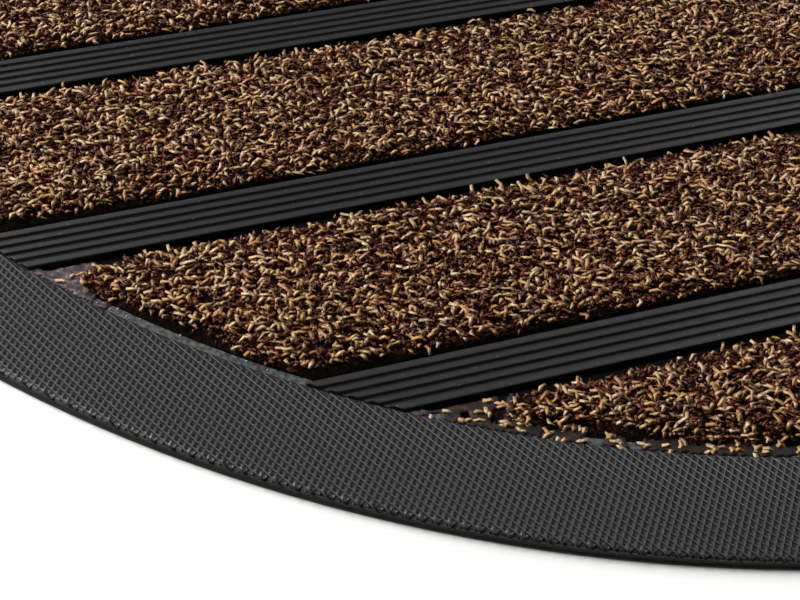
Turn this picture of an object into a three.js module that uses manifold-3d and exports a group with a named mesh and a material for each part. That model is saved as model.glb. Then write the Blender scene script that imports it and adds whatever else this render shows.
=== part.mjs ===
// Half round doormat: one moulded rubber base with ribbed scraper bars, and a strip of
// pile in each recess between the bars.
// Units are millimetres and +Z is up. The origin lies on the floor, under the middle of the
// mat. The straight edge faces +Y and the curved edge faces -Y.

import * as THREE from 'three';
import { mergeVertices } from 'three/addons/utils/BufferGeometryUtils.js';
import Module from 'manifold-3d';

// Outline of the mat
const RADIUS = 375;            // radius of the curved edge, half the mat's width
const STRAIGHT_SIDE = 65;      // short straight sides between the curve and the back edge
const BACK_CORNER = 14;        // radius of the two back corners
const ARC_STEPS = 128;         // straight steps round the curved edge
const CORNER_STEPS = 6;
const LEAST_STEP = 0.6;        // a cut's corner takes the place of points closer than this
const BACK_Y = (RADIUS + STRAIGHT_SIDE) / 2;
const CENTRE_Y = BACK_Y - STRAIGHT_SIDE;       // centre of the curved edge

// Heights above the floor
const SHEET_TOP = 1.0;         // top of the rubber sheet under the pile
const GROOVE_FLOOR = 3.0;      // floor of the grooves between the ribs
const BORDER_GROOVE_FLOOR = 1.9;
const LEDGE_TOP = 2.6;         // low ledge inside the border and behind each bar
const BORDER_TOP = 3.2;
const BAR_TOP = 3.9;
const PILE_TOP = 5.9;

// Plan sizes
const BORDER = 33.5;           // flat border round the whole mat
const INNER_CORNER = 5;        // least corner radius of an inner outline
const RIB_END_GAP = 0.7;       // the ribs stop this far short of the border
const BORDER_GROOVE = 0.6;     // width of the fine groove along the border's inner edge
const BORDER_LEDGE = 3.0;      // from the border to the pile: the fine groove, then the ledge
const BAR_LEDGE = 1.3;         // width of the ledge behind a bar
const LEDGE_FALL = 0.3;        // the ledge behind a bar slopes down by this much
const BAR_MARGIN = 1.6;        // the pile's strip stops this far from a bar's ribs
const BAR_PERIOD = 79;         // distance from one bar to the next
const BAR_COUNT = 4;
const TIP_WIDTH = 7;           // a strip of pile ends where it narrows to this width

// Ribs of a bar, across its length
const RIB_COUNT = 5;
const RIB_PITCH = 3.3;
const GROOVE_WIDTH = 1.3;      // at the ribs' tops
const GROOVE_FLOOR_WIDTH = 0.5;
const OUTER_RIB_EXTRA = 0.45;  // the two outer ribs are this much wider
const SHOULDER = 0.5;          // rounding of a rib's top edges
const SINK = 0.1;              // depth of the shallow channel along a rib's top
const BAR_WIDTH = RIB_COUNT * RIB_PITCH - GROOVE_WIDTH + 2 * OUTER_RIB_EXTRA;

// Side of the mat from the floor up: how far it lies inside the outline, and its height.
// A thin flange runs round the foot, and the top edge is rounded.
const SIDE_PROFILE = [
  { inset: 0.5, z: 0.0 },
  { inset: 0.0, z: 0.35 },
  { inset: 0.0, z: 0.9 },
  { inset: 0.4, z: 1.05 },
  { inset: 0.4, z: 2.4 },
  { inset: 0.5, z: 2.8 },
  { inset: 0.75, z: 3.08 },
  { inset: 1.15, z: BORDER_TOP },
];

// Pile
const PILE_GAP = 0.3;          // clearance of the pile to the rubber
const PILE_BOTTOM = SHEET_TOP + PILE_GAP;
const PILE_EDGE = 1.5;         // rounding of the pile's upper edges
const LUMP_CELL = 13;          // size of the pile's lumps
const LUMP_HEIGHT = 0.4;

const ABOVE = 10;              // a height above everything, for cutting tools

const wasm = await Module();
wasm.setup();

// A closed triangle mesh as a solid that can be cut and joined.
function toSolid(geometry) {
  const bare = geometry.clone();
  bare.deleteAttribute('normal');
  bare.deleteAttribute('uv');
  const merged = mergeVertices(bare, 1e-4);
  return new wasm.Manifold(new wasm.Mesh({
    numProp: 3,
    vertProperties: new Float32Array(merged.attributes.position.array),
    triVerts: new Uint32Array(merged.index.array),
  }));
}

function toGeometry(solid) {
  const mesh = solid.getMesh();
  const geometry = new THREE.BufferGeometry();
  geometry.setAttribute('position', new THREE.BufferAttribute(mesh.vertProperties, 3));
  geometry.setIndex(new THREE.BufferAttribute(mesh.triVerts, 1));
  geometry.computeVertexNormals();
  return geometry;
}

function arcPoints(centreX, centreY, radius, from, to, steps) {
  const points = [];
  for (let i = 0; i <= steps; i += 1) {
    const angle = from + (to - from) * i / steps;
    points.push(new THREE.Vector2(
      centreX + radius * Math.cos(angle),
      centreY + radius * Math.sin(angle),
    ));
  }
  return points;
}

// The mat's outline moved inwards, counter-clockwise: the curved edge, then the back corners.
function matOutline(inset) {
  const half = RADIUS - inset;
  const back = BACK_Y - inset;
  const corner = Math.max(BACK_CORNER - inset, INNER_CORNER);
  return [
    ...arcPoints(0, CENTRE_Y, half, Math.PI, 2 * Math.PI, ARC_STEPS),
    ...arcPoints(half - corner, back - corner, corner, 0, Math.PI / 2, CORNER_STEPS),
    ...arcPoints(corner - half, back - corner, corner, Math.PI / 2, Math.PI, CORNER_STEPS),
  ];
}

// The part of a convex outline where alongX * x + alongY * y is at most the limit.
function clipOutline(points, alongX, alongY, limit) {
  const kept = [];
  const corners = [];
  points.forEach((point, i) => {
    const next = points[(i + 1) % points.length];
    const here = limit - alongX * point.x - alongY * point.y;
    const there = limit - alongX * next.x - alongY * next.y;
    if (here >= 0) {
      kept.push(point);
    }
    if (here * there < 0) {
      const corner = point.clone().lerp(next, here / (here - there));
      corners.push(corner);
      kept.push(corner);
    }
  });
  return kept.filter((point) => corners.includes(point)
    || corners.every((corner) => corner.distanceTo(point) > LEAST_STEP));
}

function prism(points, bottom, top) {
  const geometry = new THREE.ExtrudeGeometry(new THREE.Shape(points), {
    depth: top - bottom,
    bevelEnabled: false,
  });
  geometry.translate(0, 0, bottom);
  return toSolid(geometry);
}

// A closed solid through a stack of outlines with the same number of points each.
function loft(rings) {
  const count = rings[0].points.length;
  const positions = rings.flatMap((ring) => ring.points.flatMap((p) => [p.x, p.y, ring.z]));
  const index = [];
  for (let r = 0; r + 1 < rings.length; r += 1) {
    for (let i = 0; i < count; i += 1) {
      const a = r * count + i;
      const b = r * count + (i + 1) % count;
      index.push(a, b, b + count, a, b + count, a + count);
    }
  }
  const last = (rings.length - 1) * count;
  const bottomCap = THREE.ShapeUtils.triangulateShape(rings[0].points, []);
  const topCap = THREE.ShapeUtils.triangulateShape(rings[rings.length - 1].points, []);
  bottomCap.forEach(([a, b, c]) => index.push(a, c, b));
  topCap.forEach(([a, b, c]) => index.push(last + a, last + b, last + c));
  const geometry = new THREE.BufferGeometry();
  geometry.setAttribute('position', new THREE.Float32BufferAttribute(positions, 3));
  geometry.setIndex(index);
  return toSolid(geometry);
}

// The bars lie half a period and then whole periods in front of the curve's centre.
function barCentre(bar) {
  return CENTRE_Y - (bar + 0.5) * BAR_PERIOD;
}

// Strip 0 lies behind the first bar and the last strip in front of the last bar.
function stripOutline(strip, clearance) {
  const side = BAR_WIDTH / 2 + BAR_MARGIN + clearance;
  const inset = BORDER + BORDER_LEDGE + clearance;
  let points = matOutline(inset);
  if (strip < BAR_COUNT) {
    points = clipOutline(points, 0, -1, -(barCentre(strip) + side));
  }
  if (strip > 0) {
    const far = barCentre(strip - 1) - side;
    const tip = Math.sqrt((RADIUS - inset) ** 2 - (CENTRE_Y - far + TIP_WIDTH) ** 2);
    points = clipOutline(points, 0, 1, far);
    points = clipOutline(points, 1, 0, tip);
    points = clipOutline(points, -1, 0, tip);
  }
  return points;
}

// Section of a bar: ribs with rounded shoulders and a slightly sunk top, grooves between
// them, and the low ledge behind the last rib.
function barSection() {
  const foot = SHEET_TOP / 2;
  const half = BAR_WIDTH / 2;
  const section = [new THREE.Vector2(-half, foot)];
  for (let rib = 0; rib < RIB_COUNT; rib += 1) {
    const middle = (rib - (RIB_COUNT - 1) / 2) * RIB_PITCH;
    const halfTop = (RIB_PITCH - GROOVE_WIDTH) / 2;
    const left = rib === 0 ? -half : middle - halfTop;
    const right = rib === RIB_COUNT - 1 ? half : middle + halfTop;
    if (rib > 0) {
      const groove = middle - RIB_PITCH / 2;
      section.push(new THREE.Vector2(groove - GROOVE_FLOOR_WIDTH / 2, GROOVE_FLOOR));
      section.push(new THREE.Vector2(groove + GROOVE_FLOOR_WIDTH / 2, GROOVE_FLOOR));
    }
    section.push(new THREE.Vector2(left, BAR_TOP - SHOULDER));
    section.push(new THREE.Vector2(left + SHOULDER * 0.3, BAR_TOP - SHOULDER * 0.3));
    section.push(new THREE.Vector2(left + SHOULDER, BAR_TOP));
    section.push(new THREE.Vector2((left + right) / 2, BAR_TOP - SINK));
    section.push(new THREE.Vector2(right - SHOULDER, BAR_TOP));
    section.push(new THREE.Vector2(right - SHOULDER * 0.3, BAR_TOP - SHOULDER * 0.3));
    section.push(new THREE.Vector2(right, BAR_TOP - SHOULDER));
  }
  section.push(new THREE.Vector2(half, LEDGE_TOP));
  section.push(new THREE.Vector2(half + BAR_LEDGE, LEDGE_TOP - LEDGE_FALL));
  section.push(new THREE.Vector2(half + BAR_LEDGE, foot));
  return section.reverse();
}

// A section drawn in the YZ plane and drawn out along X, across the whole mat.
function alongMat(section, y) {
  const geometry = new THREE.ExtrudeGeometry(new THREE.Shape(section), {
    depth: 2 * RADIUS,
    bevelEnabled: false,
  });
  const turn = new THREE.Matrix4().makeBasis(
    new THREE.Vector3(0, 1, 0),
    new THREE.Vector3(0, 0, 1),
    new THREE.Vector3(1, 0, 0),
  );
  geometry.applyMatrix4(turn);
  geometry.translate(-RADIUS, y, 0);
  return toSolid(geometry);
}

// The fine groove between the border and the ledge.
function borderGroove() {
  const inside = prism(matOutline(BORDER + BORDER_GROOVE), 0, ABOVE);
  return prism(matOutline(BORDER), BORDER_GROOVE_FLOOR, ABOVE).subtract(inside);
}

// The base without its bars is a plate whose middle is sunk in two steps.
function rubberBase() {
  const rings = SIDE_PROFILE.map((step) => ({ points: matOutline(step.inset), z: step.z }));
  const ribRoom = prism(matOutline(BORDER + RIB_END_GAP), 0, ABOVE);
  let base = loft(rings);
  base = base.subtract(prism(matOutline(BORDER), LEDGE_TOP, ABOVE));
  base = base.subtract(borderGroove());
  base = base.subtract(prism(matOutline(BORDER + BORDER_LEDGE), SHEET_TOP, ABOVE));
  for (let bar = 0; bar < BAR_COUNT; bar += 1) {
    base = base.add(alongMat(barSection(), barCentre(bar)).intersect(ribRoom));
  }
  return base;
}

// Height of the pile's top: long soft waves with a smaller unevenness on them.
function pileHeight(x, y) {
  const wave = Math.sin(x / 31 + 0.7) * Math.cos(y / 23 - 0.4);
  const ripple = Math.sin(x / 9.1 + y / 7.3) * Math.sin(y / 11.7 - x / 13.9 + 1.1);
  return PILE_TOP - LUMP_HEIGHT * (0.5 - 0.25 * wave - 0.25 * ripple);
}

// The room between the pile's flat underside and its lumpy top.
function pileRoom() {
  const width = 2 * (RADIUS - BORDER);
  const depth = 2 * (BACK_Y - BORDER);
  const columns = Math.round(width / LUMP_CELL);
  const rows = Math.round(depth / LUMP_CELL);
  const geometry = new THREE.BoxGeometry(width, depth, ABOVE, columns, rows, 1);
  const position = geometry.attributes.position;
  for (let i = 0; i < position.count; i += 1) {
    const top = pileHeight(position.getX(i), position.getY(i));
    position.setZ(i, position.getZ(i) > 0 ? top : PILE_BOTTOM);
  }
  return toSolid(geometry);
}

function pileStrip(strip, room) {
  const geometry = new THREE.ExtrudeGeometry(new THREE.Shape(stripOutline(strip, PILE_GAP)), {
    depth: PILE_TOP - PILE_BOTTOM - PILE_EDGE,
    bevelThickness: PILE_EDGE,
    bevelSize: PILE_EDGE,
    bevelOffset: -PILE_EDGE,
    bevelSegments: 2,
  });
  geometry.translate(0, 0, PILE_BOTTOM);
  return toSolid(geometry).intersect(room);
}

const group = new THREE.Group();

const rubber = new THREE.MeshStandardMaterial({
  color: 0x2b2b2c,
  roughness: 0.6,
  metalness: 0,
});
const base = new THREE.Mesh(toGeometry(rubberBase()), rubber);
base.name = 'rubber_base';
group.add(base);

const room = pileRoom();
for (let strip = 0; strip <= BAR_COUNT; strip += 1) {
  const pile = new THREE.MeshStandardMaterial({
    color: 0x3b2a20,
    roughness: 0.95,
    metalness: 0,
  });
  const mesh = new THREE.Mesh(toGeometry(pileStrip(strip, room)), pile);
  mesh.name = `pile_strip_${strip + 1}`;
  group.add(mesh);
}

export default group;
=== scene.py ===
# %% [markdown]
# # A half round doormat
# The mat is one moulding of black rubber with short curly pile set into it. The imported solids
# give every size. This lesson dresses them: first the view and the light, then the rubber,
# the fine pattern pressed into its border, and last the pile, fibre by fibre.

# %% Load the solids
import math

import bpy
import numpy as np
from mathutils import Matrix, Vector


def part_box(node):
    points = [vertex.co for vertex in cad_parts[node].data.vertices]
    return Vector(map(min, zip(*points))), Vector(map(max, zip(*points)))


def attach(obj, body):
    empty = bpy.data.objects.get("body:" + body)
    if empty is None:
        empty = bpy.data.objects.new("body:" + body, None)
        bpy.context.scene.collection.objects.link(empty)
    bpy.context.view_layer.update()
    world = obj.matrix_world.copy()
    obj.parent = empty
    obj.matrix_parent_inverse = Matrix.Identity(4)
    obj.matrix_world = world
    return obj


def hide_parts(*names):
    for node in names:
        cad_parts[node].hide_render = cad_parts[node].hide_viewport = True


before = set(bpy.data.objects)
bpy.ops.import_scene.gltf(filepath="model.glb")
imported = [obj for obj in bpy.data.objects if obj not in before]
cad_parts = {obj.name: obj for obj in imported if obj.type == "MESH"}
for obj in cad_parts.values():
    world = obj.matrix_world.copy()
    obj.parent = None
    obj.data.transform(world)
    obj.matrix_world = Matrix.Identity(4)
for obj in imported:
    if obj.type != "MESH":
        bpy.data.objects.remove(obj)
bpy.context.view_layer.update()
MM = 0.001
low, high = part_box("rubber_base")
print("rubber base, mm:", [round(side / MM, 1) for side in high - low])

# %% [markdown]
# The outline is worked out from the base's own box. The curved edge is half a circle, so its
# radius is half the mat's width, and the centre of the circle lies one radius behind the
# front. Sizes that the box can't tell, such as the border's width, are the mould's own.

# %% The mat's plan, in millimetres
RADIUS = high.x / MM
BACK_Y = high.y / MM
CENTRE_Y = low.y / MM + RADIUS
BACK_CORNER = 14
BORDER = 33.5
BORDER_TOP = 3.2
LEDGE = 3.0
LEDGE_TOP = 2.6
BAR_COUNT = 4
STRIPS = [f"pile_strip_{number + 1}" for number in range(BAR_COUNT + 1)]
print("radius", round(RADIUS, 1), "centre of the curve at y", round(CENTRE_Y, 1))


def inset_of(x, y):
    """How far a point lies inside the mat's outline, in mm."""
    from_side = RADIUS - np.abs(x)
    from_back = BACK_Y - y
    square = np.minimum(from_side, from_back)
    corner = BACK_CORNER - np.hypot(BACK_CORNER - from_side, BACK_CORNER - from_back)
    in_corner = (from_side < BACK_CORNER) & (from_back < BACK_CORNER)
    straight = np.where(in_corner, corner, square)
    return np.where(y > CENTRE_Y, straight, RADIUS - np.hypot(x, y - CENTRE_Y))


# %% [markdown]
# The photograph is a close-up of the front left part of the curve, taken from about 45 degrees
# above the floor with a short telephoto lens. The camera is placed by the point it looks at,
# its distance, and three angles.

# %% Camera
LOOK_AT = Vector((-176.0, -90.57, 3.4)) * MM
DISTANCE = 490.4 * MM
ELEVATION = math.radians(44.91)
AZIMUTH = math.radians(21.23)
ROLL = math.radians(-3.88)
LENS = 79.54
SENSOR = 36

forward = Vector((
    math.cos(ELEVATION) * math.sin(AZIMUTH),
    math.cos(ELEVATION) * math.cos(AZIMUTH),
    -math.sin(ELEVATION),
))
level = Vector((math.cos(AZIMUTH), -math.sin(AZIMUTH), 0))
below = forward.cross(level)
right = math.cos(ROLL) * level + math.sin(ROLL) * below
up = math.sin(ROLL) * level - math.cos(ROLL) * below
camera_data = bpy.data.cameras.new("camera")
camera_data.lens = LENS
camera_data.sensor_width = SENSOR
camera_data.clip_start = 0.01
camera = bpy.data.objects.new("camera", camera_data)
bpy.context.scene.collection.objects.link(camera)
turn = Matrix((right, up, -forward)).transposed()
camera.matrix_world = Matrix.Translation(LOOK_AT - forward * DISTANCE) @ turn.to_4x4()
bpy.context.scene.camera = camera
print("camera at, mm:", [round(value / MM, 1) for value in camera.matrix_world.translation])

# %% [markdown]
# The materials and the backdrop are made of nodes. They could be set one line at a time, but one
# small function that adds a node with its settings and its links makes them short to read.
# Colours are picked as sRGB hex values, and Blender reckons in linear light, where a middle grey
# is only about a fifth as bright as white.

# %% Colours and nodes
def colour(hex_text):
    """An sRGB hex colour as linear red, green, blue and alpha."""
    values = [int(hex_text[i:i + 2], 16) / 255 for i in (1, 3, 5)]
    linear = [v / 12.92 if v <= 0.04045 else ((v + 0.055) / 1.055) ** 2.4 for v in values]
    return (*linear, 1.0)


def add_node(tree, kind, inputs=None, stops=None, **settings):
    """Adds a node. inputs gives each socket a value or another node's output.

    stops gives a colour ramp its places and their hex colours.
    """
    node = tree.nodes.new(kind)
    for name, value in settings.items():
        setattr(node, name, value)
    for name, value in (inputs or {}).items():
        if isinstance(value, bpy.types.NodeSocket):
            tree.links.new(value, node.inputs[name])
        else:
            node.inputs[name].default_value = value
    if stops:
        while len(node.color_ramp.elements) < len(stops):
            node.color_ramp.elements.new(0.5)
        for element, (position, hex_text) in zip(node.color_ramp.elements, stops):
            element.position = position
            element.color = colour(hex_text)
    return node


def new_material(name, shader_inputs):
    """A material with one Principled shader; returns the material, its tree and the shader."""
    material = bpy.data.materials.new(name)
    material.use_nodes = True
    tree = material.node_tree
    tree.nodes.clear()
    shader = add_node(tree, "ShaderNodeBsdfPrincipled", shader_inputs)
    add_node(tree, "ShaderNodeOutputMaterial", {"Surface": shader.outputs["BSDF"]})
    return material, tree, shader


print("middle grey in linear light:", round(colour("#808080")[0], 3))

# %% [markdown]
# Product light on a round white table. One big light would be simpler, but black rubber shows
# little except reflections, so the soft boxes were placed by what the border and the bars show
# in the photograph: two low boxes and a high one behind on the left, whose light glides over
# the rubber towards the camera, and three weaker ones on the right. They all aim at the same
# point. The backdrop is white to the eye, but gives the rubber almost no light.

# %% Light
AIM = Vector((-0.17, -0.1, 0.0))
REACH_OF_LIGHT = 1.8
BOX_SIZE = 0.9
SOFTBOXES = [
    {"name": "softbox_left_low", "height": 25, "round": 75, "power": 18.8},
    {"name": "softbox_left_back_low", "height": 25, "round": 30, "power": 17.8},
    {"name": "softbox_left_high", "height": 50, "round": 45, "power": 28.9},
    {"name": "softbox_right_low", "height": 25, "round": -60, "power": 8.2},
    {"name": "softbox_right_back_high", "height": 50, "round": -45, "power": 2.1},
    {"name": "softbox_right_high", "height": 50, "round": -90, "power": 3.7},
]


def add_softbox(box):
    """A square soft box at the given height and way round, in degrees, aimed at the mat."""
    light = bpy.data.lights.new(box["name"], "AREA")
    light.shape = "RECTANGLE"
    light.size = BOX_SIZE
    light.size_y = BOX_SIZE
    light.energy = box["power"]
    lamp = bpy.data.objects.new(box["name"], light)
    bpy.context.scene.collection.objects.link(lamp)
    height, way = math.radians(box["height"]), math.radians(box["round"])
    towards = Vector((
        -math.cos(height) * math.sin(way),
        math.cos(height) * math.cos(way),
        math.sin(height),
    ))
    place = AIM + towards * REACH_OF_LIGHT
    aim = (AIM - place).to_track_quat("-Z", "Y")
    lamp.matrix_world = Matrix.Translation(place) @ aim.to_matrix().to_4x4()
    print(box["name"], box["power"], "W at, m:", [round(value, 2) for value in place])


for box in SOFTBOXES:
    add_softbox(box)

# %% Backdrop and table
AMBIENT = 0.01
BACKDROP = 0.95
TABLE_RADIUS = 1.9
world = bpy.data.worlds.new("studio")
world.use_nodes = True
tree = world.node_tree
seen = add_node(tree, "ShaderNodeLightPath")
strength = add_node(tree, "ShaderNodeMapRange", {
    "Value": seen.outputs["Is Camera Ray"],
    "To Min": AMBIENT,
    "To Max": BACKDROP,
})
tree.nodes["Background"].inputs["Color"].default_value = colour("#ffffff")
tree.links.new(strength.outputs["Result"], tree.nodes["Background"].inputs["Strength"])
bpy.context.scene.world = world
bpy.context.scene.view_settings.view_transform = "Standard"

bpy.ops.object.select_all(action="DESELECT")
bpy.ops.mesh.primitive_circle_add(vertices=128, radius=TABLE_RADIUS, fill_type="NGON")
floor = bpy.context.object
floor.name = "floor"
floor_paint, _, _ = new_material("matt white table paint", {
    "Base Color": colour("#f6f6f4"),
    "Roughness": 0.8,
})
floor.data.materials.append(floor_paint)
print("table", 2 * TABLE_RADIUS, "m wide")

# %% [markdown]
# The base is filled, compression moulded rubber: almost black, with a satin skin. The solids
# could be bevelled, but the bevel node rounds their edges in the shading, as the mould's worn
# edges do, and leaves them as they are. A fine grain makes the shine soft. Grey dust has settled
# on the ledge inside the border, and a few specks lie everywhere. The side and the narrow
# grooves see no light, so their colour there is painted shade, near black, with a duller skin.
# The fine pattern of the border was cut by a sharper tool, so it has a finish of its own with
# crisp edges. Its pits get painted shade from about the height of the border's flat top down.

# %% Moulded rubber
GRAIN = 0.9
GRAIN_DEPTH = 0.05
DUST_PATCH = 1.3
SPECK = 0.7
SAME_HEIGHT = 0.05
DUST = "#6c6e70"
# Painted shade for the rubber's side, its narrow grooves and the pattern's pits.
UNLIT_RUBBER = "#050505"


def moulded_rubber(name, edge_radius, roughness, low_roughness, skin, painted_shade_heights):
    """Black rubber with rounded edges; painted shade from the upper of two heights down."""
    material, tree, shader = new_material(name, {"IOR": 1.5})
    coords = add_node(tree, "ShaderNodeTexCoord")
    grain = add_node(tree, "ShaderNodeTexNoise", {
        "Vector": coords.outputs["Object"],
        "Scale": 1 / (GRAIN * MM),
        "Detail": 3.0,
    })
    rounded = add_node(tree, "ShaderNodeBevel", {"Radius": edge_radius * MM}, samples=4)
    bump = add_node(tree, "ShaderNodeBump", {
        "Height": grain.outputs["Fac"],
        "Strength": 0.25,
        "Distance": GRAIN_DEPTH * MM,
        "Normal": rounded.outputs["Normal"],
    })
    tree.links.new(bump.outputs["Normal"], shader.inputs["Normal"])
    height = add_node(tree, "ShaderNodeSeparateXYZ", {"Vector": coords.outputs["Object"]})
    on_ledge = add_node(tree, "ShaderNodeMath", {
        0: height.outputs["Z"],
        1: LEDGE_TOP * MM,
        2: SAME_HEIGHT * MM,
    }, operation="COMPARE")
    settled = add_node(tree, "ShaderNodeTexNoise", {
        "Vector": coords.outputs["Object"],
        "Scale": 1 / (DUST_PATCH * MM),
        "Detail": 5.0,
    })
    ledge_dust = add_node(tree, "ShaderNodeMath", {
        0: on_ledge.outputs["Value"],
        1: add_node(tree, "ShaderNodeMapRange", {
            "Value": settled.outputs["Fac"],
            "From Min": 0.38,
            "From Max": 0.8,
            "To Max": 0.9,
        }).outputs["Result"],
    }, operation="MULTIPLY")
    specks = add_node(tree, "ShaderNodeTexNoise", {
        "Vector": coords.outputs["Object"],
        "Scale": 1 / (SPECK * MM),
        "Detail": 1.0,
    })
    dust = add_node(tree, "ShaderNodeMath", {
        0: ledge_dust.outputs["Value"],
        1: add_node(tree, "ShaderNodeMapRange", {
            "Value": specks.outputs["Fac"],
            "From Min": 0.74,
            "From Max": 0.8,
        }).outputs["Result"],
    }, operation="MAXIMUM")
    dusty = add_node(tree, "ShaderNodeValToRGB", {"Fac": dust.outputs["Value"]}, stops=[
        (0.0, skin), (1.0, DUST),
    ])
    # From the upper height down, the colour turns to painted shade.
    high = add_node(tree, "ShaderNodeMapRange", {
        "Value": height.outputs["Z"],
        "From Min": painted_shade_heights[0] * MM,
        "From Max": painted_shade_heights[1] * MM,
    })
    shaded = add_node(tree, "ShaderNodeMix", {
        "Factor": high.outputs["Result"],
        "A": colour(UNLIT_RUBBER),
        "B": dusty.outputs["Color"],
    }, data_type="RGBA")
    tree.links.new(shaded.outputs[2], shader.inputs["Base Color"])
    dull = add_node(tree, "ShaderNodeMapRange", {
        "Value": high.outputs["Result"],
        "To Min": low_roughness,
        "To Max": roughness,
    })
    tree.links.new(dull.outputs["Result"], shader.inputs["Roughness"])
    return material


rubber = moulded_rubber(
    "moulded black rubber",
    edge_radius=0.6,
    roughness=0.42,
    low_roughness=0.8,
    skin="#1b1b1c",
    # painted shade on the side and in the narrow grooves
    painted_shade_heights=(2.4, 2.5),
)
patterned = moulded_rubber(
    "moulded black rubber with a sharp pattern",
    edge_radius=0.08,
    roughness=0.42,
    low_roughness=0.34,
    skin="#202021",
    # painted shade in the pits of the pattern
    painted_shade_heights=(BORDER_TOP - 0.1, BORDER_TOP + 0.4),
)
rubber_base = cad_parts["rubber_base"]
rubber_base.data.materials.clear()
rubber_base.data.materials.append(rubber)
print("rubber base:", rubber.name)

# %% [markdown]
# A fine pattern is pressed into the border: straight ridges 2 mm apart, and walls that cross
# them at a slant. Between them lie small lopsided pits, each with a tooth on one side and its
# deepest place on the other. A bump could draw it, but would lose the glint along its crests
# and the shadow in its pits, so it is modelled. It lies on the border's flat top, and at both
# edges of the border it dips under the surface.

# %% Pattern of the border
PITCH = 2.02
RIDGE_STEP = PITCH * np.array((0.447, -0.894))
WALL_STEP = np.array((1.354, 1.806))
CREST = 0.45
RIDGE = {"foot": 0.21, "foot_height": 0.20, "crest": 0.055, "height": 0.57}
PIT = {
    "near_left": {"along": 0.21, "across": 0.05, "height": 0.14},
    "near_right": {"along": 0.83, "across": 0.34, "height": 0.20},
    "far_right": {"along": 0.80, "across": 0.75, "height": 0.60},
    "far_left": {"along": 0.28, "across": 0.76, "height": -0.30},
    "middle": {"along": 0.30, "across": 0.65, "height": 0.0},
}
SHOULDER = [
    {"along": 0.0, "inset": 1.15, "z": BORDER_TOP},
    {"along": 0.42, "inset": 0.75, "z": 3.08},
    {"along": 0.8, "inset": 0.5, "z": 2.8},
    {"along": 1.2, "inset": 0.4, "z": 2.4},
    {"along": 1.7, "inset": 0.4, "z": 1.9},
]
SINK = 0.12
OUTER_FADE = (0.8, 1.6)
INNER_FADE = (0.05, 0.35)
INNER_STOP = 0.1
print("one pit, mm:", RIDGE_STEP.round(2), "along a ridge and", WALL_STEP.round(2), "along a wall")


def drape(x, y, height):
    """Moves pattern points onto the border's surface, over the shoulder at its outer edge."""
    inset = inset_of(x, y)
    along = SHOULDER[0]["inset"] - inset
    past = [step["along"] for step in SHOULDER]
    flat_inset = np.minimum(inset, BORDER - INNER_STOP)
    side_inset = np.interp(along, past, [step["inset"] for step in SHOULDER])
    new_inset = np.where(along > 0, side_inset, flat_inset)
    z = np.interp(along, past, [step["z"] for step in SHOULDER])
    step = 0.01
    out_x = (inset_of(x - step, y) - inset_of(x + step, y)) / (2 * step)
    out_y = (inset_of(x, y - step) - inset_of(x, y + step)) / (2 * step)
    lean = np.clip(along / past[-2], 0, 1) * math.pi / 2
    outer = 1 - np.clip((along - OUTER_FADE[0]) / (OUTER_FADE[1] - OUTER_FADE[0]), 0, 1)
    inner = np.clip((BORDER - inset - INNER_FADE[0]) / (INNER_FADE[1] - INNER_FADE[0]), 0, 1)
    fade = np.minimum(outer, inner)
    lift = height * fade - SINK * (1 - fade)
    push = inset - new_inset + lift * np.sin(lean)
    return np.stack([x + out_x * push, y + out_y * push, z + lift * np.cos(lean)], axis=-1)


def joined_mesh(name, points, triangles, material, smooth=True):
    """A mesh object made straight from arrays, in mm."""
    mesh = bpy.data.meshes.new(name)
    mesh.vertices.add(len(points))
    mesh.vertices.foreach_set("co", (points * MM).astype(np.float32).ravel())
    mesh.loops.add(3 * len(triangles))
    mesh.loops.foreach_set("vertex_index", triangles.astype(np.int32).ravel())
    mesh.polygons.add(len(triangles))
    mesh.polygons.foreach_set("loop_start", np.arange(0, 3 * len(triangles), 3, np.int32))
    mesh.update(calc_edges=True)
    mesh.materials.append(material)
    if smooth:
        mesh.shade_smooth()
    piece = bpy.data.objects.new(name, mesh)
    bpy.context.scene.collection.objects.link(piece)
    print(name, len(triangles), "triangles")
    return piece


# %% [markdown]
# Neighbouring pits share the four points where ridges and walls cross, so every crossing gets
# a number from its place in the grid, and equal numbers become one point. Inside these four
# points a pit has four more and a middle, which gives it twelve triangles. They are kept flat,
# because the mould's faces are.

# %% Pits
REACH = math.hypot(RADIUS, BACK_Y)
GRID = int(1.2 * REACH / PITCH)
column, row = (v.ravel() for v in np.mgrid[-GRID:GRID, -GRID:GRID])
centre = (column[:, None] + 0.5) * RIDGE_STEP + (row[:, None] + 0.5) * WALL_STEP
inset = inset_of(centre[:, 0], centre[:, 1])
keep = (inset > SHOULDER[0]["inset"] - SHOULDER[-1]["along"]) & (inset < BORDER)
column, row = column[keep], row[keep]
SIDE = 2 * GRID + 1
PIT_CORNERS = ((0, 0), (1, 0), (1, 1), (0, 1))
corners = [(row + far + GRID) * SIDE + column + right_side + GRID for right_side, far in PIT_CORNERS]
numbers, outer = np.unique(np.concatenate(corners), return_inverse=True)
outer = outer.reshape(4, -1)
inner = len(numbers) + np.arange(5 * len(row)).reshape(5, -1)
triangles = []
for side in range(4):
    after = (side + 1) % 4
    triangles.append((outer[side], outer[after], inner[after]))
    triangles.append((outer[side], inner[after], inner[side]))
    triangles.append((inner[side], inner[after], inner[4]))
triangles = np.concatenate([np.stack(triangle, 1) for triangle in triangles])
grid_row, grid_column = np.divmod(numbers, SIDE)
inside = PIT.values()
along = np.concatenate([grid_column - GRID] + [column + point["along"] for point in inside])
across = np.concatenate([grid_row - GRID] + [row + point["across"] for point in inside])
heights = [np.full(len(numbers), CREST)] + [np.full(len(row), point["height"]) for point in inside]
plan = along[:, None] * RIDGE_STEP + across[:, None] * WALL_STEP
points = drape(plan[:, 0], plan[:, 1], np.concatenate(heights))
pits = joined_mesh("border_pits", points, triangles, patterned, smooth=False)

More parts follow.
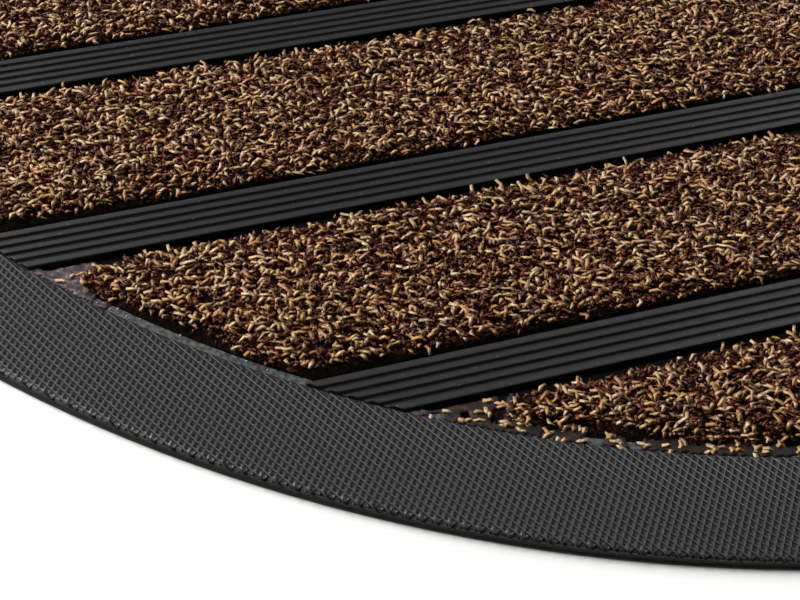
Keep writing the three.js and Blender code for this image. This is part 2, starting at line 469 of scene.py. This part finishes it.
# %% [markdown]
# The ridges are the highest lines of the pattern, and their narrow crests catch the light in one
# unbroken line. Each is a long thin prism on the edges of the pits. It is followed over the
# whole mat in short steps, and gets a ring of points only where it starts, where it ends, and
# where it passes over the shoulder, because the rest is flat.

# %% Ridges
ring_insets = [SHOULDER[0]["inset"] - step["along"] for step in SHOULDER]
ring_insets += [BORDER - depth for depth in INNER_FADE]
OUTER_END = min(ring_insets)
INNER_END = max(ring_insets)
WALK = 0.2


def border_rings(origin, way):
    """For each place where a line crosses the border, the distances of its rings."""
    distance = np.arange(-REACH, REACH, WALK)
    inset = inset_of(origin[0] + distance * way[0], origin[1] + distance * way[1])
    inside = ((inset > OUTER_END) & (inset < INNER_END)).astype(int)
    starts = np.flatnonzero(np.diff(inside) == 1)
    ends = np.flatnonzero(np.diff(inside) == -1) + 1
    found = []
    for first, last in zip(starts, ends):
        part = slice(first, last + 1)
        rings = []
        for level in ring_insets:
            past = inset[part] - level
            steps = np.flatnonzero(past[:-1] * past[1:] < 0)
            share = past[steps] / (past[steps] - past[steps + 1])
            rings.extend(distance[part][steps] + share * WALK)
        if len(rings) > 1:
            found.append(np.sort(rings))
    return found


way = RIDGE_STEP / np.hypot(*RIDGE_STEP)
aside = np.array((-way[1], way[0]))
sides = np.array((-RIDGE["foot"], -RIDGE["crest"], RIDGE["crest"], RIDGE["foot"]))
heights = np.array((RIDGE["foot_height"], RIDGE["height"], RIDGE["height"], RIDGE["foot_height"]))
spacing = WALL_STEP @ aside
points, triangles, total = [], [], 0
for number in range(-int(REACH / spacing), int(REACH / spacing) + 1):
    origin = number * spacing * aside
    for rings in border_rings(origin, way):
        middle = origin + rings[:, None] * way
        plan = middle[:, None, :] + sides[None, :, None] * aside
        height = np.broadcast_to(heights, plan.shape[:2])
        points.append(drape(plan[..., 0], plan[..., 1], height).reshape(-1, 3))
        ring = np.arange(len(rings) - 1)[:, None] * 4
        a, b = ring + np.arange(4), ring + (np.arange(4) + 1) % 4
        skin = np.stack([np.stack([a, b + 4, b], -1), np.stack([a, a + 4, b + 4], -1)], 2)
        end = 4 * (len(rings) - 1)
        caps = np.array([(0, 1, 2), (0, 2, 3), (end, end + 2, end + 1), (end, end + 3, end + 2)])
        triangles.append(np.vstack([skin.reshape(-1, 3), caps]) + total)
        total += 4 * len(rings)
ridges = joined_mesh("border_ridges", np.concatenate(points), np.concatenate(triangles), patterned,
                     smooth=False)
print("crests of the ridges at", round(float(np.concatenate(points)[:, 2].max()), 2), "mm")
for part in (pits, ridges):
    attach(part, "root")

# %% [markdown]
# The pile is cut polypropylene yarn, dark brown with almost a third of tan. Each fibre is a
# narrow ribbon about 1 mm wide, with the gloss of plastic. Two plain materials could hold the
# two colours, but every real fibre has a shade of its own. So one material reads three marks
# that each point of a fibre carries: the fibre's kind, its own tone, and how far up from the
# root the point is, because the roots get painted shade, darker and redder. A fine mottle over
# both colours is partly tone and partly painted light and shade, and the brown is mottled up to
# a mauve grey, which is a painted highlight.

# %% Pile colours
YARN_WIDTH = 1.05
YARN_THICK = 0.55
MOTTLE_AND_GLINT_SIZE = 0.9
MOTTLE_AND_GLINT_SHARE = 1.4
TONE_SHARE = 0.7
TONE_SHIFT = -0.55
BROWN, TAN = 0.0, 1.0
yarn, tree, shader = new_material("cut polypropylene yarn", {
    "Roughness": 0.38,
    "IOR": 1.49,
    "Specular Tint": colour("#f0be94"),
})
marks = add_node(tree, "ShaderNodeAttribute", attribute_name="fibre")
parts = add_node(tree, "ShaderNodeSeparateXYZ", {"Vector": marks.outputs["Vector"]})
coords = add_node(tree, "ShaderNodeTexCoord")
# The mottle stands partly for painted glints and painted shade along each fibre.
mottle_and_glints = add_node(tree, "ShaderNodeTexNoise", {
    "Vector": coords.outputs["Object"],
    "Scale": 1 / (MOTTLE_AND_GLINT_SIZE * MM),
    "Detail": 2.0,
})
own_tone = add_node(tree, "ShaderNodeMath", {
    0: parts.outputs["Y"],
    1: TONE_SHARE,
    2: TONE_SHIFT,
}, operation="MULTIPLY_ADD")
shade = add_node(tree, "ShaderNodeMath", {
    0: mottle_and_glints.outputs["Fac"],
    1: MOTTLE_AND_GLINT_SHARE,
    2: own_tone.outputs["Value"],
}, operation="MULTIPLY_ADD")
# The brown's mauve grey top is a painted highlight.
brown = add_node(tree, "ShaderNodeValToRGB", {"Fac": shade.outputs["Value"]}, stops=[
    (0.0, "#361a12"), (0.35, "#4e281a"), (0.65, "#653826"), (0.85, "#805844"), (1.0, "#a08b86"),
])
tan = add_node(tree, "ShaderNodeValToRGB", {"Fac": shade.outputs["Value"]}, stops=[
    (0.0, "#8c6034"), (0.5, "#b99466"), (1.0, "#ccb999"),
])
dyed = add_node(tree, "ShaderNodeMix", {
    "Factor": parts.outputs["X"],
    "A": brown.outputs["Color"],
    "B": tan.outputs["Color"],
}, data_type="RGBA")
# Painted shade: the roots are darker and redder.
painted_root_shade = add_node(tree, "ShaderNodeValToRGB", {"Fac": parts.outputs["Z"]}, stops=[
    (0.0, "#b08c76"), (0.8, "#ffffff"),
])
root_shaded = add_node(tree, "ShaderNodeMix", {
    "Factor": 1.0,
    "A": dyed.outputs[2],
    "B": painted_root_shade.outputs["Color"],
}, data_type="RGBA", blend_type="MULTIPLY")
tree.links.new(root_shaded.outputs[2], shader.inputs["Base Color"])
print("yarn:", yarn.name)

# %% [markdown]
# Under the fibres that show lie many more. They are too many to model and hardly show, so the
# ground of each strip carries them as a bump and a streaky colour, at the width of the real
# yarn, whose darkest streaks are painted shade between them. Where the ground lies deepest, at
# the rim, little light reaches it, and its colour turns to painted shade, nearly black.

# %% Roots of the pile
BEND_SIZE = 3
BEND_REACH = 4
ROOT_DEPTH = 1.5
UNLIT_YARN = "#060201"
UNLIT_BELOW = 2.4
LIT_ABOVE = 3.3
ground_yarn, tree, shader = new_material("dense roots of polypropylene pile", {
    "Roughness": 0.9,
    "IOR": 1.15,
})
coords = add_node(tree, "ShaderNodeTexCoord")
warp = add_node(tree, "ShaderNodeTexNoise", {
    "Vector": coords.outputs["Object"],
    "Scale": 1 / (BEND_SIZE * MM),
})
bent = add_node(tree, "ShaderNodeVectorMath", {
    0: coords.outputs["Object"],
    1: add_node(tree, "ShaderNodeVectorMath", {
        0: warp.outputs["Color"],
        "Scale": BEND_REACH * MM,
    }, operation="SCALE").outputs["Vector"],
}, operation="ADD")
strands = add_node(tree, "ShaderNodeTexNoise", {
    "Vector": bent.outputs["Vector"],
    "Scale": 1 / (YARN_WIDTH * MM),
    "Detail": 2.0,
})
# The darkest streaks are painted shade between the buried fibres.
streaks_and_shade = add_node(tree, "ShaderNodeValToRGB", {"Fac": strands.outputs["Fac"]}, stops=[
    (0.4, "#050201"), (0.5, "#200d06"), (0.62, "#4a2615"), (0.74, "#84603c"),
])
# Low down, the colour turns to painted shade.
depth = add_node(tree, "ShaderNodeSeparateXYZ", {"Vector": coords.outputs["Object"]})
lit = add_node(tree, "ShaderNodeMapRange", {
    "Value": depth.outputs["Z"],
    "From Min": UNLIT_BELOW * MM,
    "From Max": LIT_ABOVE * MM,
})
shaded = add_node(tree, "ShaderNodeMix", {
    "Factor": lit.outputs["Result"],
    "A": colour(UNLIT_YARN),
    "B": streaks_and_shade.outputs["Color"],
}, data_type="RGBA")
tree.links.new(shaded.outputs[2], shader.inputs["Base Color"])
bump = add_node(tree, "ShaderNodeBump", {
    "Height": strands.outputs["Fac"],
    "Strength": 1.0,
    "Distance": ROOT_DEPTH * MM,
})
tree.links.new(bump.outputs["Normal"], shader.inputs["Normal"])
print("ground:", ground_yarn.name)

# %% [markdown]
# Six fibres are modelled once: a triangle is extruded and turned step by step, and its
# root, which goes steeply down into the ground, is drawn to a point. The tan ones show most, so
# they have one more bend and a blunt tip, and the brown ones end in a point. Hair would be
# quicker to make, but it is no mesh. So each strip gets thousands of copies in joined meshes,
# turned, sized and bent sideways into an arc at random.

# %% Model the fibres
FIBRES = [
    {"name": "brown_low", "kind": BROWN, "leans": (35, 88), "steps": (1.6, 2.2)},
    {"name": "brown_arch", "kind": BROWN, "leans": (20, 102), "steps": (1.6, 2.1)},
    {"name": "brown_tall", "kind": BROWN, "leans": (15, 60), "steps": (1.5, 1.8)},
    {"name": "tan_low", "kind": TAN, "leans": (10, 72, 94), "steps": (1.1, 1.5, 1.7)},
    {"name": "tan_arch", "kind": TAN, "leans": (5, 66, 115), "steps": (1.2, 1.5, 1.5)},
    {"name": "tan_tall", "kind": TAN, "leans": (10, 48, 84), "steps": (1.0, 1.4, 1.5)},
]


def select_points(mesh_object, chosen):
    """Selects just these vertices; starts and ends in edit mode."""
    bpy.ops.mesh.select_all(action="DESELECT")
    bpy.ops.object.mode_set(mode="OBJECT")
    for number in chosen:
        mesh_object.data.vertices[number].select = True
    bpy.ops.object.mode_set(mode="EDIT")


def model_fibre(shape):
    """A fibre that grows up from the origin and bends towards +X, in mm."""
    bpy.ops.object.select_all(action="DESELECT")
    bpy.ops.mesh.primitive_circle_add(vertices=3, radius=1, fill_type="NGON")
    fibre = bpy.context.object
    fibre.name = shape["name"]
    bpy.ops.object.mode_set(mode="EDIT")
    bpy.ops.mesh.select_all(action="SELECT")
    bpy.ops.transform.resize(value=(YARN_WIDTH / math.sqrt(3), YARN_THICK / 1.5, 1))
    bpy.ops.transform.rotate(value=math.pi / 2, orient_axis="Z", center_override=(0, 0, 0))
    place = Vector((0, 0, 0))
    turned = 0
    for length, lean in zip(shape["steps"], shape["leans"]):
        way = math.radians(lean)
        move = Vector((math.sin(way), 0, math.cos(way))) * length
        bpy.ops.mesh.extrude_region_move(TRANSFORM_OT_translate={"value": move})
        place += move
        bpy.ops.transform.rotate(
            value=turned - way,
            orient_axis="Y",
            center_override=place,
        )
        turned = way
    bpy.ops.object.mode_set(mode="OBJECT")
    count = len(fibre.data.vertices)
    last_ring = sorted(range(count - 3, count), key=lambda number: fibre.data.vertices[number].co.y)
    bpy.ops.object.mode_set(mode="EDIT")
    select_points(fibre, last_ring[1:] if shape["kind"] == TAN else last_ring)
    bpy.ops.mesh.merge(type="CENTER")
    select_points(fibre, range(3))
    bpy.ops.mesh.merge(type="CENTER")
    bpy.ops.mesh.select_all(action="SELECT")
    bpy.ops.mesh.quads_convert_to_tris()
    bpy.ops.mesh.normals_make_consistent(inside=False)
    bpy.ops.object.mode_set(mode="OBJECT")
    points = np.array([vertex.co for vertex in fibre.data.vertices])
    corners = np.array([face.vertices for face in fibre.data.polygons])
    print(shape["name"], len(points), "points", len(corners), "triangles", points.max(0).round(2))
    bpy.data.objects.remove(fibre)
    from_root = np.linalg.norm(points, axis=1)
    return {"kind": shape["kind"], "points": points, "corners": corners,
            "from_root": from_root / from_root.max()}


fibres = [model_fibre(shape) for shape in FIBRES]

# %% [markdown]
# Thousands of separate objects would be slow, so the copies of the fibres are joined straight
# from arrays: each is sized, bent sideways into an arc that keeps its width, turned, and set
# down on its root.

# %% Planting
def plant(name, shapes, stand):
    """One mesh of many fibres. stand holds one array for each way in which they differ.

    Each fibre is bent sideways into an arc; its curl is one over the arc's radius, in mm.
    """
    all_points, all_triangles, all_marks, total = [], [], [], 0
    for number, fibre in enumerate(shapes):
        own = {key: values[stand["shape"] == number][:, None] for key, values in stand.items()}
        count, size = len(own["x"]), len(fibre["points"])
        reach = fibre["points"][:, 0] * own["length"]
        width = fibre["points"][:, 1] * own["wide"]
        bend = own["curl"] * reach
        along = reach * np.sinc(bend / math.pi) - width * np.sin(bend)
        aside = reach * np.sinc(bend / 2 / math.pi) * np.sin(bend / 2) + width * np.cos(bend)
        turn_cos, turn_sin = np.cos(own["yaw"]), np.sin(own["yaw"])
        all_points.append(np.stack([
            own["x"] + along * turn_cos - aside * turn_sin,
            own["y"] + along * turn_sin + aside * turn_cos,
            own["z"] + fibre["points"][:, 2] * own["tall"],
        ], axis=-1).reshape(-1, 3))
        shift = np.arange(count)[:, None, None] * size + total
        all_triangles.append((fibre["corners"][None] + shift).reshape(-1, 3))
        kind = np.full((count, size), fibre["kind"])
        tone = np.broadcast_to(own["tone"], kind.shape)
        up = np.maximum(np.broadcast_to(fibre["from_root"], kind.shape), own["flat"])
        all_marks.append(np.stack([kind, tone, up], -1).reshape(-1, 3))
        total += count * size
    points = np.concatenate(all_points)
    piece = joined_mesh(name, points, np.concatenate(all_triangles), yarn)
    marks = piece.data.attributes.new("fibre", "FLOAT_VECTOR", "POINT")
    marks.data.foreach_set("vector", np.concatenate(all_marks).astype(np.float32).ravel())
    print(name, len(stand["x"]), "fibres, top at", round(float(points[:, 2].max()), 2), "mm")
    return piece


print("mean fibre, triangles:", round(sum(len(fibre["corners"]) for fibre in fibres) / len(fibres)))

# %% [markdown]
# The real strips aren't cut neatly. The pile stops a little short of the ledge and of the bar in
# front of it, and about 2.5 mm short of the bar behind it, where a dark gap shows. It ends where
# a strip runs to a narrow tip, and here and there it leaves the ledge bare. A painted mask could
# say where the fibres stand, but soft waves give the same kind of edge and need no picture.

# %% Where the fibres stand
SPACING = 1.28
TIP_WIDTH = 10
TIP_SLOPE = 0.7
RAGGED = 0.8
BARE = 2.5
LEDGE_GAP = 1.2
BARE_GAP = 2.8
BEHIND_GAP = 2.4
FRONT_GAP = 0.6
FRONT_GAP_AT_BORDER = 3.2
FRONT_GAP_REACH = 40
BOXES = {node: [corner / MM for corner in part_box(node)] for node in STRIPS}
rng = np.random.default_rng(7)
for node in STRIPS:
    print(node, "from y", round(BOXES[node][0].y, 1), "to", round(BOXES[node][1].y, 1), "mm")


def soft_noise(x, y, size, seed):
    """Four smooth waves of about that size together, from -1 to 1."""
    phase = np.random.default_rng(seed).uniform(0, 2 * math.pi, 8)
    total = 0
    for k in range(4):
        angle = k * 0.9 + phase[k]
        scale = 2 * math.pi / (size * (0.8 + 0.2 * k))
        total = total + np.sin((x * np.cos(angle) + y * np.sin(angle)) * scale + phase[k + 4])
    return total / 4


def strip_sides(x, y, node):
    """How far a point lies inside the border's ledge, the bar behind and the bar in front."""
    lowest, highest = BOXES[node]
    to_border = inset_of(x, y) - BORDER - LEDGE
    to_back = highest.y - y
    if node == STRIPS[0]:
        to_back = to_back + RADIUS
    return to_border, to_back, y - lowest.y


def strip_room(x, y, node):
    """How far a point lies inside a strip's pile, in mm."""
    to_border, to_back, to_front = strip_sides(x, y, node)
    bare = np.clip(BARE * soft_noise(x, y, size=70, seed=4), 0, 1)
    room = np.minimum(to_border - LEDGE_GAP - BARE_GAP * bare, to_back - BEHIND_GAP)
    near_border = np.exp(-np.maximum(to_border, 0) / FRONT_GAP_REACH)
    room = np.minimum(room, to_front - FRONT_GAP - FRONT_GAP_AT_BORDER * near_border)
    room = np.minimum(room, TIP_SLOPE * (to_border + to_back - TIP_WIDTH))
    return room + RAGGED * soft_noise(x, y, size=11, seed=3)


def fibre_roots(node):
    """Where a strip's fibres stand, how far from its rim, and which way the rim lies."""
    lowest, highest = BOXES[node]
    columns = np.arange(-RADIUS, RADIUS, SPACING)
    rows = np.arange(lowest.y, highest.y, SPACING)
    x, y = (values.ravel() for values in np.meshgrid(columns, rows))
    x = x + rng.uniform(-0.5, 0.5, len(x)) * SPACING
    y = y + rng.uniform(-0.5, 0.5, len(y)) * SPACING
    room = strip_room(x, y, node)
    x, y, room = x[room > 0], y[room > 0], room[room > 0]
    step = 0.05
    out_x = strip_room(x - step, y, node) - strip_room(x + step, y, node)
    out_y = strip_room(x, y - step, node) - strip_room(x, y + step, node)
    return x, y, room, np.arctan2(out_y, out_x)


# %% [markdown]
# No two fibres of real pile are alike. Every fibre draws its own shape, length, height, width,
# curl and tone, and some are half as long again. At the rim of a strip the fibres sink and lean
# outwards, and fewer are tan. The share of tan also drifts in soft patches.

# %% Fibres of one strip
GROUND_TOP = 3.6
ROOT_SINK = 0.1
TAN_RISE = 0.15
TAN_SHARE = 0.29
TAN_DRIFT = 0.07
TAN_LOSS_AT_RIM = 0.08
RIM = 2.6
RIM_DROP = 1.5
RIM_SHORTER = 0.3
LEAN_OUT = 0.8
LONG_SHARE = 0.12
LONG = 1.5
SHAPE_SHARES = (0.45, 0.35, 0.2)
CURL = 0.45
SWELL = 0.3


def strip_fibres(node):
    """A strip's brown and tan fibres, as two pieces."""
    x, y, room, outward = fibre_roots(node)
    count = len(x)
    at_rim = np.exp(-((room / RIM) ** 2))
    yaw = rng.uniform(0, 2 * math.pi, count)
    yaw = np.where(rng.random(count) < LEAN_OUT * at_rim, outward + rng.normal(0, 1.0, count), yaw)
    drift = TAN_DRIFT * soft_noise(x, y, size=17, seed=5)
    is_tan = rng.random(count) < TAN_SHARE + drift - TAN_LOSS_AT_RIM * at_rim
    long = np.where((rng.random(count) < LONG_SHARE) & (room > RIM), LONG, 1)
    z = GROUND_TOP - ROOT_SINK + rng.uniform(-0.5, 0.5, count) - RIM_DROP * at_rim * rng.random(count)
    stand = {
        "x": x,
        "y": y,
        "z": z + SWELL * soft_noise(x, y, size=15, seed=8) + TAN_RISE * is_tan,
        "yaw": yaw,
        "shape": rng.choice(3, count, p=SHAPE_SHARES),
        "length": rng.uniform(0.85, 1.4, count) * long * (1 - RIM_SHORTER * at_rim * ~is_tan),
        "tall": rng.uniform(0.55, 1.15, count),
        "wide": rng.uniform(0.75, 1.15, count),
        "curl": rng.normal(0, CURL, count),
        "tone": rng.random(count),
        "flat": np.zeros(count),
    }
    pieces = []
    for name, kind, chosen in (("brown", BROWN, ~is_tan), ("tan", TAN, is_tan)):
        shapes = [fibre for fibre in fibres if fibre["kind"] == kind]
        own = {key: values[chosen] for key, values in stand.items()}
        pieces.append(plant(node.replace("pile_strip", f"pile_{name}"), shapes, own))
    return pieces


print("one fibre for each", round(SPACING ** 2, 2), "square mm")

# %% [markdown]
# The ground of each strip is the sheet of pile fabric that lies in the recess. It could be drawn
# anew, but a copy of the strip's solid, merged and pressed lower, keeps its true outline and its
# lumps. It lies lowest at its rim, where no fibres hold it up.

# %% Ground and fibres of each strip
RIM_SHARE = 0.45
SETTLE = 2


def pile_ground(node):
    """The strip's solid, pressed down to the height of the fibres' roots."""
    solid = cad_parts[node]
    name = node.replace("pile_strip", "pile_ground")
    ground = bpy.data.objects.new(name, solid.data.copy())
    bpy.context.scene.collection.objects.link(ground)
    bpy.ops.object.select_all(action="DESELECT")
    ground.select_set(True)
    bpy.context.view_layer.objects.active = ground
    bpy.ops.object.mode_set(mode="EDIT")
    bpy.ops.mesh.select_all(action="SELECT")
    bpy.ops.mesh.remove_doubles(threshold=0.01 * MM)
    bpy.ops.object.mode_set(mode="OBJECT")
    points = np.empty(3 * len(ground.data.vertices), np.float32)
    ground.data.vertices.foreach_get("co", points)
    x, y, z = points.reshape(-1, 3).T / MM
    lowest, highest = (corner.z for corner in BOXES[node])
    share = (GROUND_TOP - lowest) / (highest - lowest)
    room = strip_room(x, y, node)
    settled = RIM_SHARE + (1 - RIM_SHARE) * np.clip((room + SETTLE) / (2 * SETTLE), 0, 1)
    z = lowest + (z - lowest) * share * settled
    points = np.stack([x, y, z], -1) * MM
    ground.data.vertices.foreach_set("co", points.astype(np.float32).ravel())
    ground.data.update()
    ground.data.materials.clear()
    ground.data.materials.append(ground_yarn)
    return ground


for node in STRIPS:
    ground = pile_ground(node)
    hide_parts(node)
    tufts = strip_fibres(node)
    plan = 0
    for face in ground.data.polygons:
        plan += max(face.normal.z, 0) * face.area
    print(ground.name, "covers", round(plan * 1e4), "square cm")
    for part in [ground] + tufts:
        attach(part, "root")

# %% [markdown]
# Where a strip runs to a tip, and along the front, the mould pressed the pile fabric flat. What
# is left there is a thin skin of fused backing that laps onto the ledge, with pressed tan
# fibres in it. A subdivided plane would have clean edges, and this skin is ragged, so it is a
# net of small uneven cells, with a top, a bottom and closed sides. Its colour is smeared mauve
# grey, which is a painted sheen, and dark red brown along the front, which is painted shade.

# %% Fused backing
SMEAR = 2
WRINKLE_DEPTH = 0.4


def fused_backing(name, stops):
    """Fused yarn: a thin plastic skin, mottled, with small wrinkles."""
    material, tree, shader = new_material(name, {"Roughness": 0.6, "IOR": 1.35})
    coords = add_node(tree, "ShaderNodeTexCoord")
    smears = add_node(tree, "ShaderNodeTexNoise", {
        "Vector": coords.outputs["Object"],
        "Scale": 1 / (SMEAR * MM),
        "Detail": 5.0,
        "Roughness": 0.65,
    })
    smeared = add_node(tree, "ShaderNodeValToRGB", {"Fac": smears.outputs["Fac"]}, stops=stops)
    tree.links.new(smeared.outputs["Color"], shader.inputs["Base Color"])
    bump = add_node(tree, "ShaderNodeBump", {
        "Height": smears.outputs["Fac"],
        "Strength": 0.6,
        "Distance": WRINKLE_DEPTH * MM,
    })
    tree.links.new(bump.outputs["Normal"], shader.inputs["Normal"])
    return material


# Mauve grey here is a painted sheen.
painted_sheen_backing = fused_backing("fused pile backing, mauve grey with painted sheen", [
    (0.36, "#1c1213"), (0.5, "#3c3033"), (0.66, "#746669"),
])
# Dark red brown here is painted shade.
painted_shade_backing = fused_backing("fused pile backing, dark red brown with painted shade", [
    (0.36, "#050201"), (0.5, "#1a0a06"), (0.66, "#3a2018"),
])
print("fused backing:", painted_sheen_backing.name, "and", painted_shade_backing.name)

# %% Where the fused backing lies
FILM_START = 0.8
TIP_REACH = 11.5
LEDGE_REACH = 17
REACH_WAVE = 1.5
ON_LEDGE = 0.4
FRONT_REACH = 1.2
FRONT_WAVE = 0.7
BAR_GAP = 0.2
HOLES_BELOW = -0.62
FRONT_HOLES_BELOW = -0.35


def has_film(x, y, node):
    """Whether the fused backing covers a point."""
    to_border, to_back, _ = strip_sides(x, y, node)
    waves = soft_noise(x, y, size=7, seed=12)
    reach = np.where(to_border < ON_LEDGE, LEDGE_REACH, TIP_REACH) + REACH_WAVE * waves
    film = (to_border + to_back < reach) & (to_back > BAR_GAP)
    hole = HOLES_BELOW
    if node == STRIPS[-1]:
        film = film | ((to_border < FRONT_REACH + FRONT_WAVE * waves) & (to_back > BAR_GAP))
        hole = FRONT_HOLES_BELOW
    return film & (to_border > FILM_START - LEDGE) & (soft_noise(x, y, size=9, seed=31) > hole)


print("backing where border and bar are within", TIP_REACH, "mm, on the ledge", LEDGE_REACH, "mm")

# %% Film
FILM_CELL = 0.9
FILM_TOP = 2.92
FILM_FOOT = 1.2
FOOT_START = 0.2
FILM_SINK = 0.05
LUMPS = 0.1
CELL_SHIFT = 0.25


def film_piece(node):
    """The fused backing of a strip, as one closed net."""
    lowest, highest = BOXES[node]
    columns = np.arange(-RADIUS, RADIUS, FILM_CELL)
    rows = np.arange(lowest.y - LEDGE, highest.y + LEDGE, FILM_CELL)
    x, y = np.meshgrid(columns, rows)
    cells = has_film(x[:-1, :-1] + FILM_CELL / 2, y[:-1, :-1] + FILM_CELL / 2, node)
    film_rng = np.random.default_rng(21)
    x = x + film_rng.uniform(-CELL_SHIFT, CELL_SHIFT, x.shape) * FILM_CELL
    y = y + film_rng.uniform(-CELL_SHIFT, CELL_SHIFT, x.shape) * FILM_CELL
    to_border = strip_sides(x, y, node)[0]
    lumps = LUMPS * soft_noise(x, y, size=5, seed=6)
    top = FILM_TOP + lumps + film_rng.uniform(-0.05, 0.05, x.shape)
    bottom = np.where(to_border > FOOT_START, FILM_FOOT, LEDGE_TOP - FILM_SINK)
    number = np.arange(x.size).reshape(x.shape)
    padded_cells = np.pad(cells, 1)
    corner = [number[:-1, :-1], number[:-1, 1:], number[1:, 1:], number[1:, :-1]]
    beyond = [
        padded_cells[:-2, 1:-1],
        padded_cells[1:-1, 2:],
        padded_cells[2:, 1:-1],
        padded_cells[1:-1, :-2],
    ]
    a, b, c, d = (values[cells] for values in corner)
    under = x.size
    triangles = [(a, b, c), (a, c, d)]
    triangles += [(a + under, c + under, b + under), (a + under, d + under, c + under)]
    for side in range(4):
        edge = cells & ~beyond[side]
        p, q = corner[side][edge], corner[(side + 1) % 4][edge]
        triangles += [(p, p + under, q + under), (p, q + under, q)]
    faces = np.concatenate([np.stack(face, 1) for face in triangles])
    points = np.concatenate([np.stack([x, y, z], -1).reshape(-1, 3) for z in (top, bottom)])
    used, faces = np.unique(faces, return_inverse=True)
    name = node.replace("pile_strip", "pile_film")
    # The front strip gets the painted shade, and the others get the painted sheen.
    material = painted_shade_backing if node == STRIPS[-1] else painted_sheen_backing
    return joined_mesh(name, points[used], faces.reshape(-1, 3), material)


# %% [markdown]
# A few fibres were pressed into the skin before it set, and they lie on it like grains of rice.
# They could be painted on, but their edges catch the light, so they are the tan fibres again,
# laid low and bent either way.

# %% Pressed fibres
FLECK_DENSITY = 0.1
FRONT_DENSITY = 1.8
FLECK_ROOT = 0.3
FLECK_INSET = 0.6
FLECK_TALL = 0.33


def film_flecks(node):
    """Pressed fibres that lie flat on a strip's film."""
    lowest, highest = BOXES[node]
    fleck_rng = np.random.default_rng(33)
    density = FLECK_DENSITY * (FRONT_DENSITY if node == STRIPS[-1] else 1)
    tries = int(2 * RADIUS * (highest.y - lowest.y) * density)
    x = fleck_rng.uniform(-RADIUS, RADIUS, tries)
    y = fleck_rng.uniform(lowest.y - LEDGE, highest.y, tries)
    on = has_film(x, y, node) & (strip_sides(x, y, node)[0] > FLECK_INSET - LEDGE + FILM_START)
    x, y = x[on], y[on]
    count = len(x)
    stand = {
        "x": x,
        "y": y,
        "z": np.full(count, FILM_TOP - FLECK_ROOT),
        "yaw": fleck_rng.uniform(0, 2 * math.pi, count),
        "shape": fleck_rng.choice(3, count),
        "length": fleck_rng.uniform(0.8, 1.3, count),
        "tall": np.full(count, FLECK_TALL),
        "wide": fleck_rng.uniform(1.0, 1.5, count),
        "curl": fleck_rng.choice((-1, 1), count) * fleck_rng.uniform(0.2, 0.6, count),
        "tone": fleck_rng.uniform(0.4, 1, count),
        "flat": np.ones(count),
    }
    shapes = [fibre for fibre in fibres if fibre["kind"] == TAN]
    return plant(node.replace("pile_strip", "pile_flecks"), shapes, stand)


for node in STRIPS[1:]:
    for part in (film_piece(node), film_flecks(node)):
        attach(part, "root")

# %% [markdown]
# Along the inner edge of the ledge lie tiny crumbs of cut yarn. A noise in the rubber's colour
# could show them, but they stand up a little and catch the light, so each is a short scrap of
# the same fibres, under a millimetre long.

# %% Crumbs on the ledge
CRUMB_SHARE = 0.16
CRUMB_BAND = (-1.3, -0.1)
CRUMBS_ABOVE = -0.1
CRUMB_SINK = 0.02
CRUMB_TALL = 0.12
crumb_rng = np.random.default_rng(51)
tries = int(CRUMB_SHARE * (2 * RADIUS) * (BACK_Y - low.y / MM))
x = crumb_rng.uniform(-RADIUS, RADIUS, tries)
y = crumb_rng.uniform(low.y / MM, BACK_Y, tries)
past_ledge = inset_of(x, y) - BORDER - LEDGE
between = np.zeros(tries, bool)
for node in STRIPS:
    _, to_back, to_front = strip_sides(x, y, node)
    between |= (to_back > 0) & (to_front > 0)
in_band = (past_ledge > CRUMB_BAND[0]) & (past_ledge < CRUMB_BAND[1])
on = between & in_band & (soft_noise(x, y, size=12, seed=77) > CRUMBS_ABOVE)
x, y = x[on], y[on]
count = len(x)
crumbs = plant("pile_crumbs", [fibre for fibre in fibres if fibre["kind"] == TAN], {
    "x": x,
    "y": y,
    "z": np.full(count, LEDGE_TOP - CRUMB_SINK),
    "yaw": crumb_rng.uniform(0, 2 * math.pi, count),
    "shape": crumb_rng.choice(3, count),
    "length": crumb_rng.uniform(0.1, 0.3, count),
    "tall": np.full(count, CRUMB_TALL),
    "wide": crumb_rng.uniform(0.3, 0.6, count),
    "curl": np.zeros(count),
    "tone": np.ones(count),
    "flat": np.ones(count),
})
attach(crumbs, "root")
